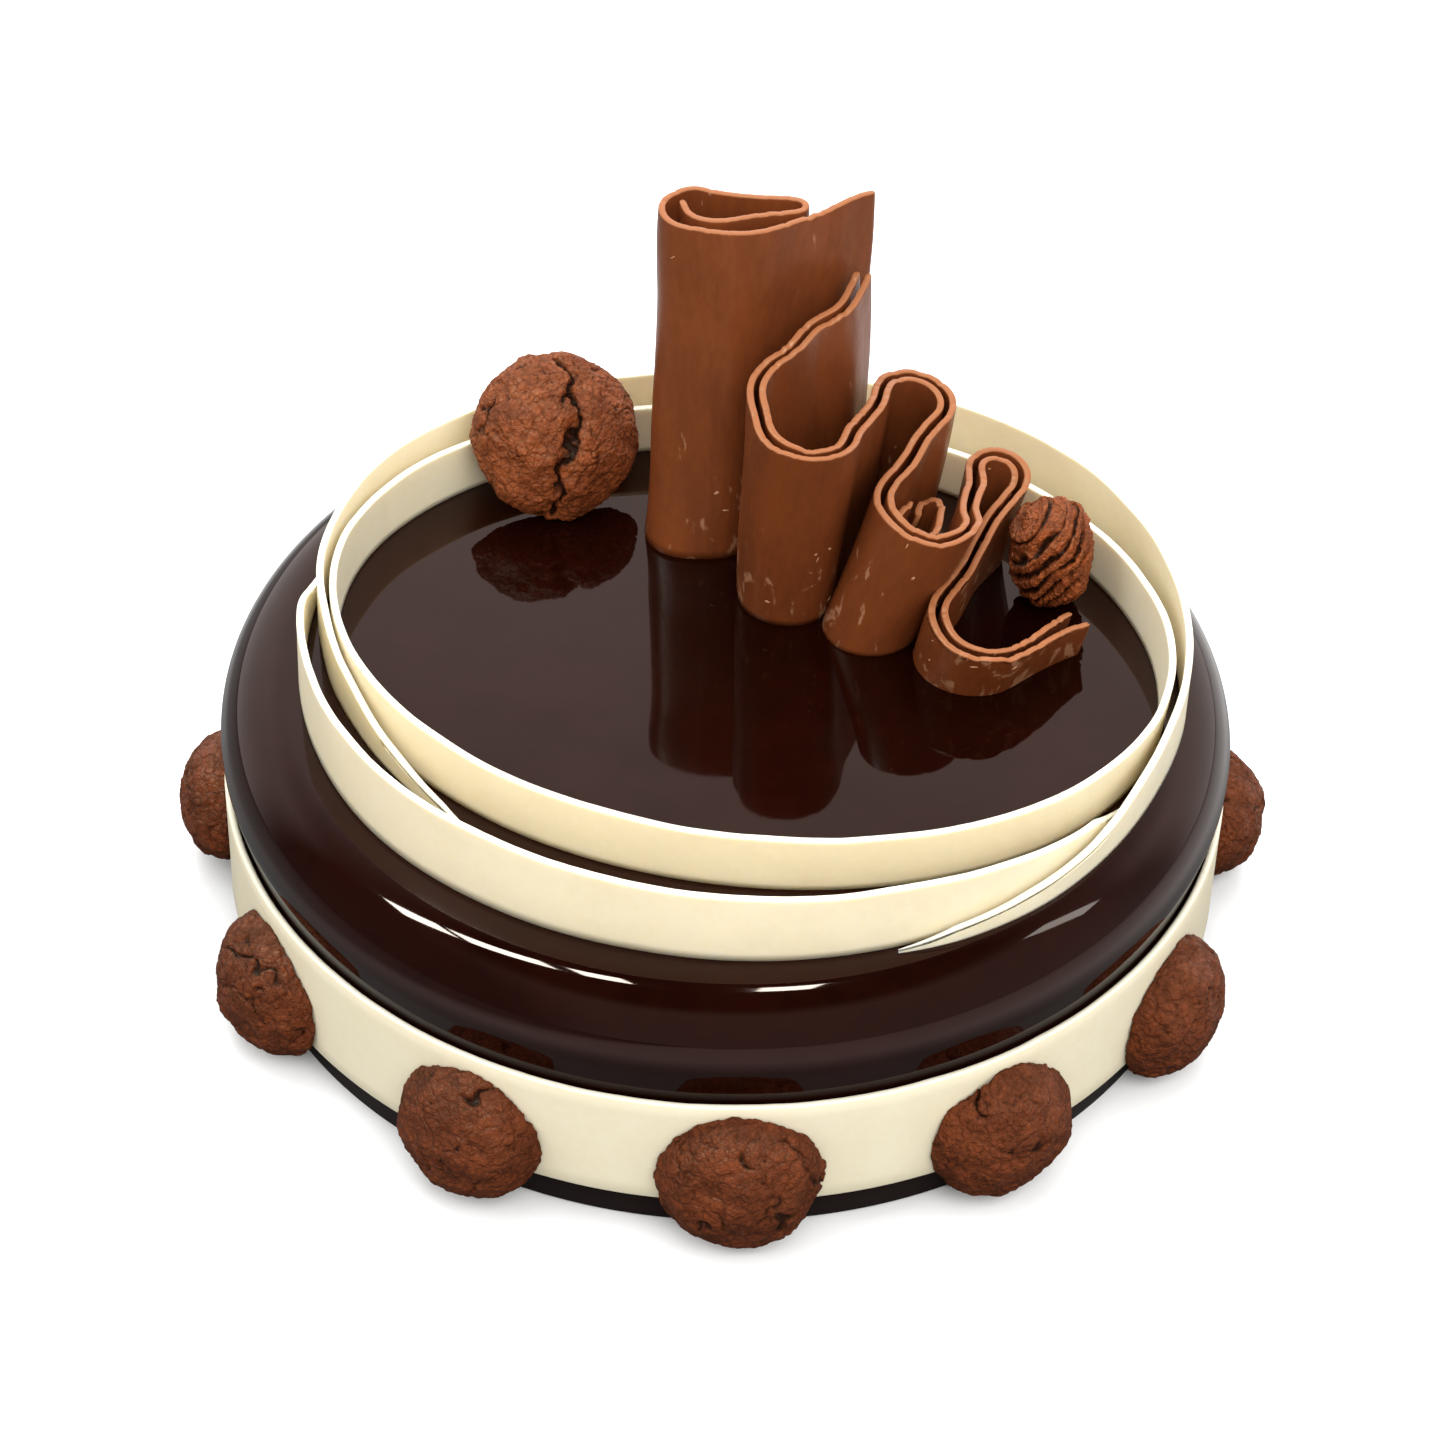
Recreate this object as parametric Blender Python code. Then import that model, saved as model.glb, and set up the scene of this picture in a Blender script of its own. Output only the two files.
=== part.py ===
"""A round chocolate cake with a mirror glaze, a white chocolate band and hoops, domed biscuits and a folded ruffle.

Metres, +Z up. The origin is the centre of the flat base. The front, where the ruffle's folds open, is towards -Y.
Tables are in millimetres and degrees, where a heading says so.
"""

import math

import bmesh
import bpy
from mathutils import Matrix, Vector, noise

MM = 0.001
GAP = 0.0003

# The cake: a foot, a side that leans out above the band, and a rounded shoulder up to a flat top.
GLAZE_TOP = 0.056
WALL_LEAN = math.radians(12.0)
SHOULDER_RADIUS = 0.0125
SHOULDER_STEPS = 7
FOOT_RADIUS = 0.0972
FOOT_TOP = 0.0062
BODY_SEGMENTS = 88

# The white chocolate band round the lower side.
BAND_BOTTOM = 0.0085
BAND_TOP = 0.0335
BAND_RADIUS = 0.1000
BAND_THICKNESS = 0.0014

# The domed biscuits that stand round the band, with their backs hollowed to its curve.
BISCUIT_DEPTH = 0.0110
BISCUIT_BUMPS = 0.0007
BISCUIT_FOOT = 0.0006
# Direction from the front in degrees, half width and half height in millimetres.
SIDE_BISCUITS = (
    (3.0, 15.8, 15.6),
    (32.5, 15.4, 14.6),
    (60.5, 15.6, 14.2),
    (95.0, 14.6, 13.2),
    (124.0, 15.3, 14.4),
    (153.0, 15.7, 14.0),
    (181.0, 15.0, 14.8),
    (210.0, 15.5, 13.8),
    (239.0, 15.2, 14.5),
    (268.0, 14.8, 13.2),
    (301.0, 15.9, 14.0),
    (333.0, 15.2, 14.6),
)

# The round biscuit that stands on the glaze and leans back on the inner hoop's rim.
TOP_BISCUIT_CENTRE = (-0.0371, 0.0550, 0.0694)
TOP_BISCUIT_RADIUS = 0.0172
TOP_BISCUIT_FRONT = 0.0125
TOP_BISCUIT_BACK = 0.0046
TOP_BISCUIT_LEAN = math.radians(45.0)
TOP_BISCUIT_TURN = math.radians(18.0)
TOP_BISCUIT_CRACK = 0.0024

# The ridged biscuit beside the ruffle.
RIDGED_BISCUIT_PLACE = (0.0638, 0.0234)
RIDGED_BISCUIT_SIZE = (0.0083, 0.0090, 0.0112)
RIDGE_SPACING = 0.0030
RIDGE_DEPTH = 0.0007
RIDGE_SLOPE = math.radians(50.0)

# The white chocolate hoops that stand on the glaze.
HOOP_THICKNESS = 0.0015
HOOP_SEGMENTS = 84
INNER_HOOP_CENTRE = (0.0040, 0.0016)
INNER_HOOP_SEMI_AXES = (0.0832, 0.0656)
INNER_HOOP_BACK_AXIS = 0.0680
INNER_HOOP_TURN = math.radians(-15.2)
INNER_HOOP_HEIGHTS = (0.0125, 0.0104)
# The foot of the inner hoop lies inside its rim on the right: direction and how far.
INNER_HOOP_LEAN = (math.radians(-40.0), 0.0016)
# The two open hoops: angle from +X in degrees, radius and height in millimetres.
FRONT_HOOP = (
    (159.0, 85.3, 1.4),
    (164.0, 84.8, 2.4),
    (169.0, 84.4, 4.0),
    (174.0, 84.1, 7.0),
    (180.0, 83.8, 11.5),
    (189.0, 83.5, 15.2),
    (200.0, 83.5, 16.4),
    (220.0, 83.6, 16.4),
    (240.0, 83.1, 16.2),
    (260.0, 83.2, 15.4),
    (280.0, 84.3, 14.4),
    (293.0, 85.1, 13.6),
    (305.0, 86.0, 11.6),
    (318.0, 86.4, 8.4),
    (331.0, 86.2, 4.6),
)
BACK_HOOP = (
    (-68.0, 87.4, 1.4),
    (-60.0, 88.3, 2.8),
    (-50.0, 89.0, 4.2),
    (-38.0, 89.0, 6.0),
    (-24.0, 88.8, 9.5),
    (-8.0, 89.7, 13.0),
    (10.0, 88.8, 14.6),
    (35.0, 86.0, 15.4),
    (58.0, 81.4, 15.4),
    (82.0, 77.2, 15.4),
    (105.0, 77.0, 15.4),
    (130.0, 81.0, 15.4),
    (150.0, 83.4, 15.0),
    (165.0, 82.7, 14.4),
    (173.0, 81.7, 13.6),
    (181.0, 79.2, 12.4),
    (189.0, 77.0, 11.0),
    (196.0, 75.0, 9.2),
    (205.0, 73.2, 6.8),
    (213.0, 71.9, 4.6),
    (222.0, 71.4, 3.0),
    (231.0, 71.8, 2.0),
)

# The ruffle's milk chocolate sheets. A path runs from a start, round its bends, to an end.
# A bend is its centre at the rim, its radius there, its centre and radius at the foot, and its turn, 1 to the left.
SHEET_THICKNESS = 0.0015
SHEET_SPACING = 0.0026
TAIL_SPREAD = 0.0012
PATH_STEP = 0.0024
# How far the runs between two bends of opposite turn bow, for each metre of their length.
RUN_BOW = 0.028
SCROLL_HEIGHT = 0.070
SCROLL_START = ((-12.2, 57.4), (-12.4, 45.0))
SCROLL_BENDS = (
    ((-5.2, 57.2), 6.4, (-6.2, 44.6), 5.0, 1),
    ((10.2, 56.9), 1.7, (9.4, 45.0), 1.7, 1),
    ((-8.4, 54.9), 7.2, (-9.0, 41.8), 7.9, 1),
    ((-2.0, 63.8), 17.6, (-5.5, 45.9), 12.0, 1),
)
SCROLL_END = ((25.7, 62.7), (25.0, 51.4))
RUFFLE_HEIGHTS = (0.0560, 0.0080)
RUFFLE_START = ((24.6, 55.0), (24.2, 46.4))
RUFFLE_BENDS = (
    ((10.0, 53.0), 13.0, (17.4, 46.4), 6.2, -1),
    ((15.6, 22.8), 11.6, (12.4, 23.8), 9.2, 1),
    ((13.6, 15.4), 8.0, (11.2, 21.6), 7.8, 1),
    ((35.6, 39.2), 6.4, (32.0, 41.0), 5.6, -1),
    ((37.9, 12.8), 8.9, (28.0, 12.8), 7.4, 1),
    ((53.2, 35.2), 4.6, (49.0, 36.0), 4.2, -1),
    ((49.6, -1.0), 9.2, (48.0, 3.4), 9.4, 1),
)
RUFFLE_END = ((69.0, 7.0), (67.4, 8.6))
# The broken end of a third sheet, curled up inside the ruffle's second fold.
CURL_THICKNESS = 0.0013
CURL_HEIGHTS = (0.0275, 0.0215)
CURL_START = ((35.1, 17.6), (27.3, 17.6))
CURL_BENDS = (
    ((36.0, 12.5), 3.9, (27.1, 12.8), 3.1, 1),
    ((39.0, 22.4), 2.3, (32.4, 22.2), 1.8, 1),
)
CURL_END = ((36.9, 20.6), (30.0, 20.8))

SMOOTH_ANGLE = math.radians(40.0)


def clear_scene():
    for old in list(bpy.data.objects):
        bpy.data.objects.remove(old, do_unlink=True)


def new_material(name, colour, roughness):
    material = bpy.data.materials.new(name)
    material.use_nodes = True
    shader = material.node_tree.nodes["Principled BSDF"]
    shader.inputs["Base Color"].default_value = (*colour, 1.0)
    shader.inputs["Roughness"].default_value = roughness
    shader.inputs["Metallic"].default_value = 0.0
    return material


def add_object(name, bm, material):
    """Turns the faces outwards and makes the object, shaded smooth up to its sharp edges."""
    bmesh.ops.recalc_face_normals(bm, faces=bm.faces)
    mesh = bpy.data.meshes.new(name)
    bm.to_mesh(mesh)
    bm.free()
    mesh.materials.append(material)
    mesh.shade_smooth()
    mesh.set_sharp_from_angle(angle=SMOOTH_ANGLE)
    obj = bpy.data.objects.new(name, mesh)
    bpy.context.scene.collection.objects.link(obj)
    return obj


def arc(centre, radius, start, end, steps):
    """Points of an arc in the plane, angles in radians, both ends included."""
    angles = [start + (end - start) * i / steps for i in range(steps + 1)]
    return [(centre[0] + radius * math.cos(a), centre[1] + radius * math.sin(a)) for a in angles]


def turned(name, profile, material, closed=False):
    """A solid turned about Z from a profile of (radius, height) points."""
    bm = bmesh.new()
    points = [bm.verts.new((r, 0.0, z)) for r, z in profile]
    pairs = list(zip(points, points[1:]))
    if closed:
        pairs.append((points[-1], points[0]))
    edges = [bm.edges.new(pair) for pair in pairs]
    bmesh.ops.spin(
        bm,
        geom=points + edges,
        cent=(0.0, 0.0, 0.0),
        axis=(0.0, 0.0, 1.0),
        angle=math.tau,
        steps=BODY_SEGMENTS,
        use_merge=True,
    )
    bmesh.ops.remove_doubles(bm, verts=bm.verts, dist=1e-6)
    return add_object(name, bm, material)


def make_glazed_cake(material):
    inner = BAND_RADIUS - BAND_THICKNESS - GAP
    rise = GLAZE_TOP - SHOULDER_RADIUS * (1.0 + math.sin(WALL_LEAN)) - BAND_TOP - GAP
    wall_top = inner + rise * math.tan(WALL_LEAN)
    shoulder = (wall_top - SHOULDER_RADIUS * math.cos(WALL_LEAN), GLAZE_TOP - SHOULDER_RADIUS)
    profile = [(0.0, 0.0), (FOOT_RADIUS, 0.0), (FOOT_RADIUS, FOOT_TOP), (inner, BAND_BOTTOM - GAP)]
    profile += [(inner, BAND_TOP + GAP)]
    profile += arc(shoulder, SHOULDER_RADIUS, -WALL_LEAN, math.pi / 2, SHOULDER_STEPS)
    profile += [(0.0, GLAZE_TOP)]
    turned("glazed_cake", profile, material)


def make_side_band(material):
    inner = BAND_RADIUS - BAND_THICKNESS
    corners = [(inner, BAND_BOTTOM), (BAND_RADIUS, BAND_BOTTOM), (BAND_RADIUS, BAND_TOP), (inner, BAND_TOP)]
    turned("side_band", corners, material, closed=True)


def unit_ball(levels):
    bm = bmesh.new()
    bmesh.ops.create_icosphere(bm, subdivisions=levels, radius=1.0)
    return bm


def crust(point, seed):
    """Uneven height of a biscuit's crust at a point of the unit ball, about -1 to 1, lowest in its cracks."""
    where = point + Vector((7.3 * seed, 3.1 * seed, 1.7 * seed))
    bumps = noise.noise(where * 1.6) + 0.6 * noise.noise(where * 3.7)
    crack = abs(noise.noise(where * 1.9 + Vector((11.0, 5.0, 2.0))))
    return bumps - 0.9 * max(0.0, 1.0 - crack / 0.09)


def make_side_biscuit(number, direction, half_width, half_height, material):
    """A dome of ellipse outline whose back follows the band, standing just off the base plane."""
    bm = unit_ball(3)
    for vert in bm.verts:
        ball = vert.co.copy()
        rough = BISCUIT_BUMPS * crust(ball, number)
        outline = 1.0 + rough / half_width
        across = half_width * ball.x * outline
        up = half_height * ball.z * outline
        out = (BISCUIT_DEPTH + rough) * max(0.0, -ball.y) - across * across / (2 * BAND_RADIUS)
        vert.co = Vector((across, -(BAND_RADIUS + GAP + out), up))
    lowest = min(vert.co.z for vert in bm.verts)
    bmesh.ops.translate(bm, verts=bm.verts, vec=(0.0, 0.0, BISCUIT_FOOT - lowest))
    bmesh.ops.rotate(bm, verts=bm.verts, matrix=Matrix.Rotation(math.radians(direction), 3, "Z"))
    add_object(f"side_biscuit_{number:02d}", bm, material)


def make_top_biscuit(material):
    """A dome with a flatter back, split by one deep crack that wanders over its front, tilted back on the hoop."""
    bm = unit_ball(4)
    place = Matrix.Translation(TOP_BISCUIT_CENTRE)
    tilt = Matrix.Rotation(TOP_BISCUIT_TURN, 4, "Z") @ Matrix.Rotation(-TOP_BISCUIT_LEAN, 4, "X")
    for vert in bm.verts:
        ball = vert.co.copy()
        line = 0.24 * math.cos(2.1 * (ball.z - 0.4)) - 0.02
        split = max(0.0, 1.0 - abs(ball.x - line) / 0.10) if ball.y < -0.1 else 0.0
        rough = BISCUIT_BUMPS * crust(ball, 40) - TOP_BISCUIT_CRACK * split
        depth = TOP_BISCUIT_FRONT if ball.y < 0.0 else TOP_BISCUIT_BACK
        wide = TOP_BISCUIT_RADIUS + rough
        vert.co = place @ tilt @ Vector((wide * ball.x, (depth + rough) * ball.y, wide * ball.z))
    add_object("top_biscuit", bm, material)


def make_ridged_biscuit(material):
    """A squarish nugget whose ridges rise to the right across its front."""
    bm = unit_ball(4)
    for vert in bm.verts:
        ball = vert.co.copy()
        square = Vector([math.copysign(abs(part) ** 0.85, part) for part in ball])
        point = Vector([size * part for size, part in zip(RIDGED_BISCUIT_SIZE, square)])
        across = point.x * math.sin(RIDGE_SLOPE) - point.z * math.cos(RIDGE_SLOPE)
        ridge = math.sin(math.tau * across / RIDGE_SPACING + 1.5 * noise.noise(ball * 1.5))
        vert.co = point + ball * (RIDGE_DEPTH * ridge + BISCUIT_BUMPS * noise.noise(ball * 3.0))
    lowest = min(vert.co.z for vert in bm.verts)
    bmesh.ops.translate(bm, verts=bm.verts, vec=(*RIDGED_BISCUIT_PLACE, GLAZE_TOP + GAP - lowest))
    add_object("ridged_biscuit", bm, material)


def strip(name, sections, material, closed=False):
    """A solid strip through sections of four corners: foot and rim on one side, then rim and foot on the other."""
    bm = bmesh.new()
    loops = [[bm.verts.new(corner) for corner in section] for section in sections]
    following = loops[1:] + loops[:1] if closed else loops[1:]
    for here, there in zip(loops, following):
        for i in range(4):
            j = (i + 1) % 4
            bm.faces.new((here[i], here[j], there[j], there[i]))
    if not closed:
        bm.faces.new(loops[0])
        bm.faces.new(loops[-1])
    add_object(name, bm, material)


def directions(points, closed=False):
    """Unit normals to the left of a plane path at each of its points."""
    last = len(points) - 1
    normals = []
    for i in range(len(points)):
        before = points[i - 1] if i > 0 or closed else points[i]
        after = points[(i + 1) % len(points)] if i < last or closed else points[i]
        along = (after - before).normalized()
        normals.append(Vector((-along.y, along.x)))
    return normals


def sections_between(rim, foot, heights, thickness, shift=0.0, closed=False):
    """Sections of a strip whose rim and foot follow their own paths, both moved to the left by a shift."""
    sections = []
    rows = zip(rim, directions(rim, closed), foot, directions(foot, closed), heights)
    for top, top_left, low, low_left, height in rows:
        sides = []
        for side in (shift - thickness / 2, shift + thickness / 2):
            under, over = low + low_left * side, top + top_left * side
            sides.append([(under.x, under.y, GLAZE_TOP + GAP), (over.x, over.y, GLAZE_TOP + GAP + height)])
        sections.append([sides[0][0], sides[0][1], sides[1][1], sides[1][0]])
    return sections


def make_inner_hoop(material):
    rim, foot, heights = [], [], []
    turn = Matrix.Rotation(INNER_HOOP_TURN, 2)
    long, front = INNER_HOOP_SEMI_AXES
    toward, lean = INNER_HOOP_LEAN
    high, low = INNER_HOOP_HEIGHTS
    for i in range(HOOP_SEGMENTS):
        angle = math.tau * i / HOOP_SEGMENTS
        back = max(0.0, math.sin(angle))
        short = front + (INNER_HOOP_BACK_AXIS - front) * back
        point = turn @ Vector((long * math.cos(angle), short * math.sin(angle))) + Vector(INNER_HOOP_CENTRE)
        inward = lean * max(0.0, math.cos(math.atan2(point.y, point.x) - toward)) ** 2
        rim.append(point)
        foot.append(point - point.normalized() * inward)
        heights.append(high + (low - high) * back)
    sections = sections_between(rim, foot, heights, HOOP_THICKNESS, closed=True)
    strip("inner_hoop", sections, material, closed=True)


def eased(rows, where):
    """The row of a table read at a place in its first column, by a smooth curve through the rows."""
    i = max(k for k in range(len(rows) - 1) if rows[k][0] <= where or k == 0)
    a, b = rows[i], rows[i + 1]
    before = rows[i - 1] if i > 0 else a
    after = rows[i + 2] if i + 2 < len(rows) else b
    share = (where - a[0]) / (b[0] - a[0])
    values = []
    for k in range(1, len(a)):
        slope_a = (b[k] - before[k]) / max(b[0] - before[0], 1e-9) * (b[0] - a[0])
        slope_b = (after[k] - a[k]) / max(after[0] - a[0], 1e-9) * (b[0] - a[0])
        cube, square = share**3, share**2
        start = (2 * cube - 3 * square + 1) * a[k] + (cube - 2 * square + share) * slope_a
        values.append(start + (3 * square - 2 * cube) * b[k] + (cube - square) * slope_b)
    return values


def make_open_hoop(name, rows, material):
    path, heights = [], []
    steps = round(HOOP_SEGMENTS * (rows[-1][0] - rows[0][0]) / 360.0)
    for i in range(steps + 1):
        angle = rows[0][0] + (rows[-1][0] - rows[0][0]) * i / steps
        radius, height = eased(rows, angle)
        path.append(Vector((math.cos(math.radians(angle)), math.sin(math.radians(angle)))) * radius * MM)
        heights.append(height * MM)
    strip(name, sections_between(path, path, heights, HOOP_THICKNESS), material)


def tangent(first, first_reach, second, second_reach):
    """Touching points of the line that leaves the first circle and meets the second.

    A reach is the circle's radius times its turn, and 0 at a path's start or end.
    """
    apart = second - first
    tilt = math.asin((first_reach - second_reach) / apart.length)
    along = Matrix.Rotation(tilt, 2) @ apart.normalized()
    right = Vector((along.y, -along.x))
    return first + right * first_reach, second + right * second_reach


def bowed(leave, meet, reach, next_reach):
    """Greatest sideways offset of a run that keeps to its last bend longer and meets the next one sooner."""
    if reach * next_reach >= 0.0:
        return Vector((0.0, 0.0))
    along = meet - leave
    return Vector((-along.y, along.x)) * math.copysign(RUN_BOW, reach)


def s_curve(share):
    """A wave of one period along a run that starts and ends level."""
    return math.sin(math.tau * share) * math.sin(math.pi * share) ** 0.5


def folded_path(start, bends, end, counts=None):
    """Points along the tangents and round the bends of a path, with the same count each side of a sheet."""
    circles = [(Vector(start), 0.0)] + [(Vector(c), r * turn) for c, r, turn in bends] + [(Vector(end), 0.0)]
    lines = [tangent(*circles[i], *circles[i + 1]) for i in range(len(circles) - 1)]
    points, used = [], []
    for i, (leave, meet) in enumerate(lines):
        steps = counts[2 * i] if counts else max(1, round((meet - leave).length * MM / PATH_STEP))
        bow = bowed(leave, meet, circles[i][1], circles[i + 1][1])
        points += [leave.lerp(meet, k / steps) + bow * s_curve(k / steps) for k in range(steps)]
        used.append(steps)
        if i == len(lines) - 1:
            points.append(meet)
            break
        centre, reach = circles[i + 1]
        begin = meet - centre
        leaving = lines[i + 1][0] - centre
        sweep = math.atan2(begin.x * leaving.y - begin.y * leaving.x, begin.dot(leaving))
        if sweep * reach < -1e-6:
            sweep += math.copysign(math.tau, reach)
        steps = counts[2 * i + 1] if counts else max(2, round(abs(sweep * reach) * MM / PATH_STEP))
        points += [centre + Matrix.Rotation(sweep * k / steps, 2) @ begin for k in range(steps)]
        used.append(steps)
    return [point * MM for point in points], used


def sheet_paths(start, bends, end):
    """The rim's and the foot's points of a sheet, matched one to one."""
    rim_bends = [(rim, radius, turn) for rim, radius, _, _, turn in bends]
    foot_bends = [(foot, radius, turn) for _, _, foot, radius, turn in bends]
    rim, counts = folded_path(start[0], rim_bends, end[0])
    foot, _ = folded_path(start[1], foot_bends, end[1], counts)
    return rim, foot


def falling(heights, count):
    """Heights along a path that fall evenly from the first to the last."""
    high, low = heights
    return [high + (low - high) * i / (count - 1) for i in range(count)]


def make_scroll(material):
    rim, foot = sheet_paths(SCROLL_START, SCROLL_BENDS, SCROLL_END)
    heights = [SCROLL_HEIGHT] * len(rim)
    strip("ruffle_scroll", sections_between(rim, foot, heights, SHEET_THICKNESS), material)


def make_ruffle(material):
    """Two sheets folded side by side that part a little at their tails."""
    rim, foot = sheet_paths(RUFFLE_START, RUFFLE_BENDS, RUFFLE_END)
    heights = falling(RUFFLE_HEIGHTS, len(rim))
    for name, side in (("ruffle_sheet_outer", -1), ("ruffle_sheet_inner", 1)):
        sections = sections_between(rim, foot, heights, SHEET_THICKNESS, side * SHEET_SPACING / 2)
        tail = len(sections) - 6
        for i in range(tail, len(sections)):
            left = directions(rim)[i] * side * TAIL_SPREAD * ((i - tail + 1) / 6) ** 2
            sections[i] = [(x + left.x, y + left.y, z) for x, y, z in sections[i]]
        strip(name, sections, material)


def make_curl(material):
    rim, foot = sheet_paths(CURL_START, CURL_BENDS, CURL_END)
    heights = falling(CURL_HEIGHTS, len(rim))
    strip("ruffle_curl", sections_between(rim, foot, heights, CURL_THICKNESS), material)


def main():
    clear_scene()
    dark_glaze = new_material("dark_glaze", (0.022, 0.009, 0.006), 0.08)
    white_chocolate = new_material("white_chocolate", (0.86, 0.80, 0.62), 0.40)
    milk_chocolate = new_material("milk_chocolate", (0.22, 0.085, 0.04), 0.42)
    biscuit = new_material("biscuit", (0.17, 0.055, 0.027), 0.80)
    golden_biscuit = new_material("golden_biscuit", (0.25, 0.085, 0.03), 0.60)
    make_glazed_cake(dark_glaze)
    make_side_band(white_chocolate)
    for number, (direction, half_width, half_height) in enumerate(SIDE_BISCUITS, 1):
        make_side_biscuit(number, direction, half_width * MM, half_height * MM, biscuit)
    make_top_biscuit(biscuit)
    make_ridged_biscuit(golden_biscuit)
    make_inner_hoop(white_chocolate)
    make_open_hoop("outer_hoop_front", FRONT_HOOP, white_chocolate)
    make_open_hoop("outer_hoop_back", BACK_HOOP, white_chocolate)
    make_scroll(milk_chocolate)
    make_ruffle(milk_chocolate)
    make_curl(milk_chocolate)


main()
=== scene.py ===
"""Dresses a round chocolate cake: mirror glaze, ivory band and hoops, crackled biscuits and a folded ruffle.

Metres, +Z up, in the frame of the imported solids. What a user would change is an add-on property.
"""

import math
import random

import bmesh
import bpy
import numpy as np
from bpy.props import FloatProperty, FloatVectorProperty, IntProperty, PointerProperty
from mathutils import Matrix, Vector, noise


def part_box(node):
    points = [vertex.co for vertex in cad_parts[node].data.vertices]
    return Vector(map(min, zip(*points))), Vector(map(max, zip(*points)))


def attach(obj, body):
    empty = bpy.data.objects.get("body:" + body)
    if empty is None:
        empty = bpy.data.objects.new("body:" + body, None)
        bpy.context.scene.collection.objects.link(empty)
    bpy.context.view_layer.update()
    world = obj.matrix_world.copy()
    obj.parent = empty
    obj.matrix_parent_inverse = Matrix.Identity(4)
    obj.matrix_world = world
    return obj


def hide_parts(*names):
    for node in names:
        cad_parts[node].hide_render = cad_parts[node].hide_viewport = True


bl_info = {
    "name": "Glazed cake dressing",
    "version": (1, 0, 0),
    "blender": (4, 5, 0),
    "location": "View3D > Sidebar > Cake",
    "description": "Models the glaze, band, hoops, ruffle and biscuits of a round cake on its solids",
    "category": "Add Mesh",
}

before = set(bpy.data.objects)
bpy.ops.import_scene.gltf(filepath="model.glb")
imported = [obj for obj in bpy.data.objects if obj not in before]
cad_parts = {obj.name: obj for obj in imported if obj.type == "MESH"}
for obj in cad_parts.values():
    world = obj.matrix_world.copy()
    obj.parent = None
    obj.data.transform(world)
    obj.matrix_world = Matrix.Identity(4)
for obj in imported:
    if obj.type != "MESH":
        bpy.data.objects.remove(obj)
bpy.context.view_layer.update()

MM = 0.001
GLAZE_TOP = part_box("glazed_cake")[1][2]

# The glazed body's profile, and the band that hides its foot.
BAND_LOW, BAND_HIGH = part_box("side_band")
BAND_TOP = BAND_HIGH[2]
BAND_CORNER = 0.0004
BAND_ROWS = 8
WALL_FOOT_RADIUS = 0.0983
SHOULDER_RADIUS = 0.0125
WALL_LEAN = math.radians(12.0)
FOOT_RADIUS = 0.0972
FOOT_TOP = 0.0062
BODY_SEGMENTS = 288
WALL_STEPS = 8
SHOULDER_STEPS = 20
TOP_RINGS = 28

# The standing sheets: node, columns for each step of the solid's path, rows, and in millimetres
# how much the rim wavers, how ragged it is, how much the sheet bends and how far its rim strays sideways.
HOOPS = (
    ("inner_hoop", 6, 8, 0.22, 0.05, 0.20, 0.25),
    ("outer_hoop_front", 6, 8, 0.22, 0.05, 0.20, 0.25),
    ("outer_hoop_back", 6, 8, 0.22, 0.05, 0.20, 0.25),
)
RUFFLES = (
    ("ruffle_scroll", 5, 36, 1.20, 0.40, 1.30, 0.80),
    ("ruffle_sheet_outer", 6, 26, 1.10, 0.55, 0.80, 0.80),
    ("ruffle_sheet_inner", 6, 26, 1.10, 0.55, 0.80, 0.80),
    ("ruffle_curl", 6, 18, 1.20, 1.80, 0.30, 0.60),
)

# The low ends of the hoops grow thin: below which height, and over which length.
THIN_END_HEIGHT = 0.008
THIN_END_LENGTH = 0.016

# Narrow lights overhead, each by its middle, its width in metres and its share of the full brightness.
STRIP_LIGHTS = (
    (-0.92, 0.36, 1.0),
    (-0.533, 0.30, 1.0),
    (-0.255, 0.11, 1.0),
    (0.155, 0.14, 1.0),
    (1.35, 0.70, 0.16),
)
STRIP_BACK = 0.17
STRIP_HEIGHT = 1.5
STRIP_LENGTH = 0.18
STRIP_TINT = (0.72, 1.0, 1.0)

# Soft lights that the glaze does not mirror: name, place, height aimed at, size, setting of its power, share.
SOFT_LIGHTS = (
    ("left_light", (-1.0, -0.40, 0.90), 0.05, 0.9, "side_power", 1.0),
    ("right_light", (1.0, -0.40, 0.90), 0.05, 0.9, "side_power", 0.8),
    ("front_light", (0.25, -0.95, 1.15), 0.05, 0.9, "front_power", 1.0),
    ("back_light", (0.0, 1.0, 0.75), 0.05, 0.9, "back_power", 1.0),
    ("top_light", (-0.15, 0.15, 1.35), 0.0, 1.2, "top_power", 1.0),
)
FLOOR_INNER_RADIUS = 0.4
FLOOR_RADIUS = 3.6

# Where in the noise each of three unlike values is taken.
NOISE_AXES = ((9.3, -1.5, -8.0), (0.0, 0.0, 0.0), (6.3, 11.4, -3.1))

# The top biscuit's place, size and tilt, as in its solid.
TOP_CENTRE = (-0.0371, 0.0550, 0.0694)
TOP_RADIUS = 0.0172
TOP_LEAN = math.radians(45.0)
TOP_TURN = math.radians(18.0)

# The photograph's camera: its lens, how it looks at the base's centre, how its picture is turned and moved.
IMAGE_SIZE = 1440.0
FOCAL_PIXELS = 4054.0
SENSOR_WIDTH = 36.0
CAMERA_ELEVATION = math.radians(42.76)
CAMERA_DISTANCE = 0.836
CAMERA_BACK = 0.0011
CAMERA_ROLL = math.radians(1.85)
BASE_RIGHT_PIXELS = 1.0
BASE_DOWN_PIXELS = 154.8


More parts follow.
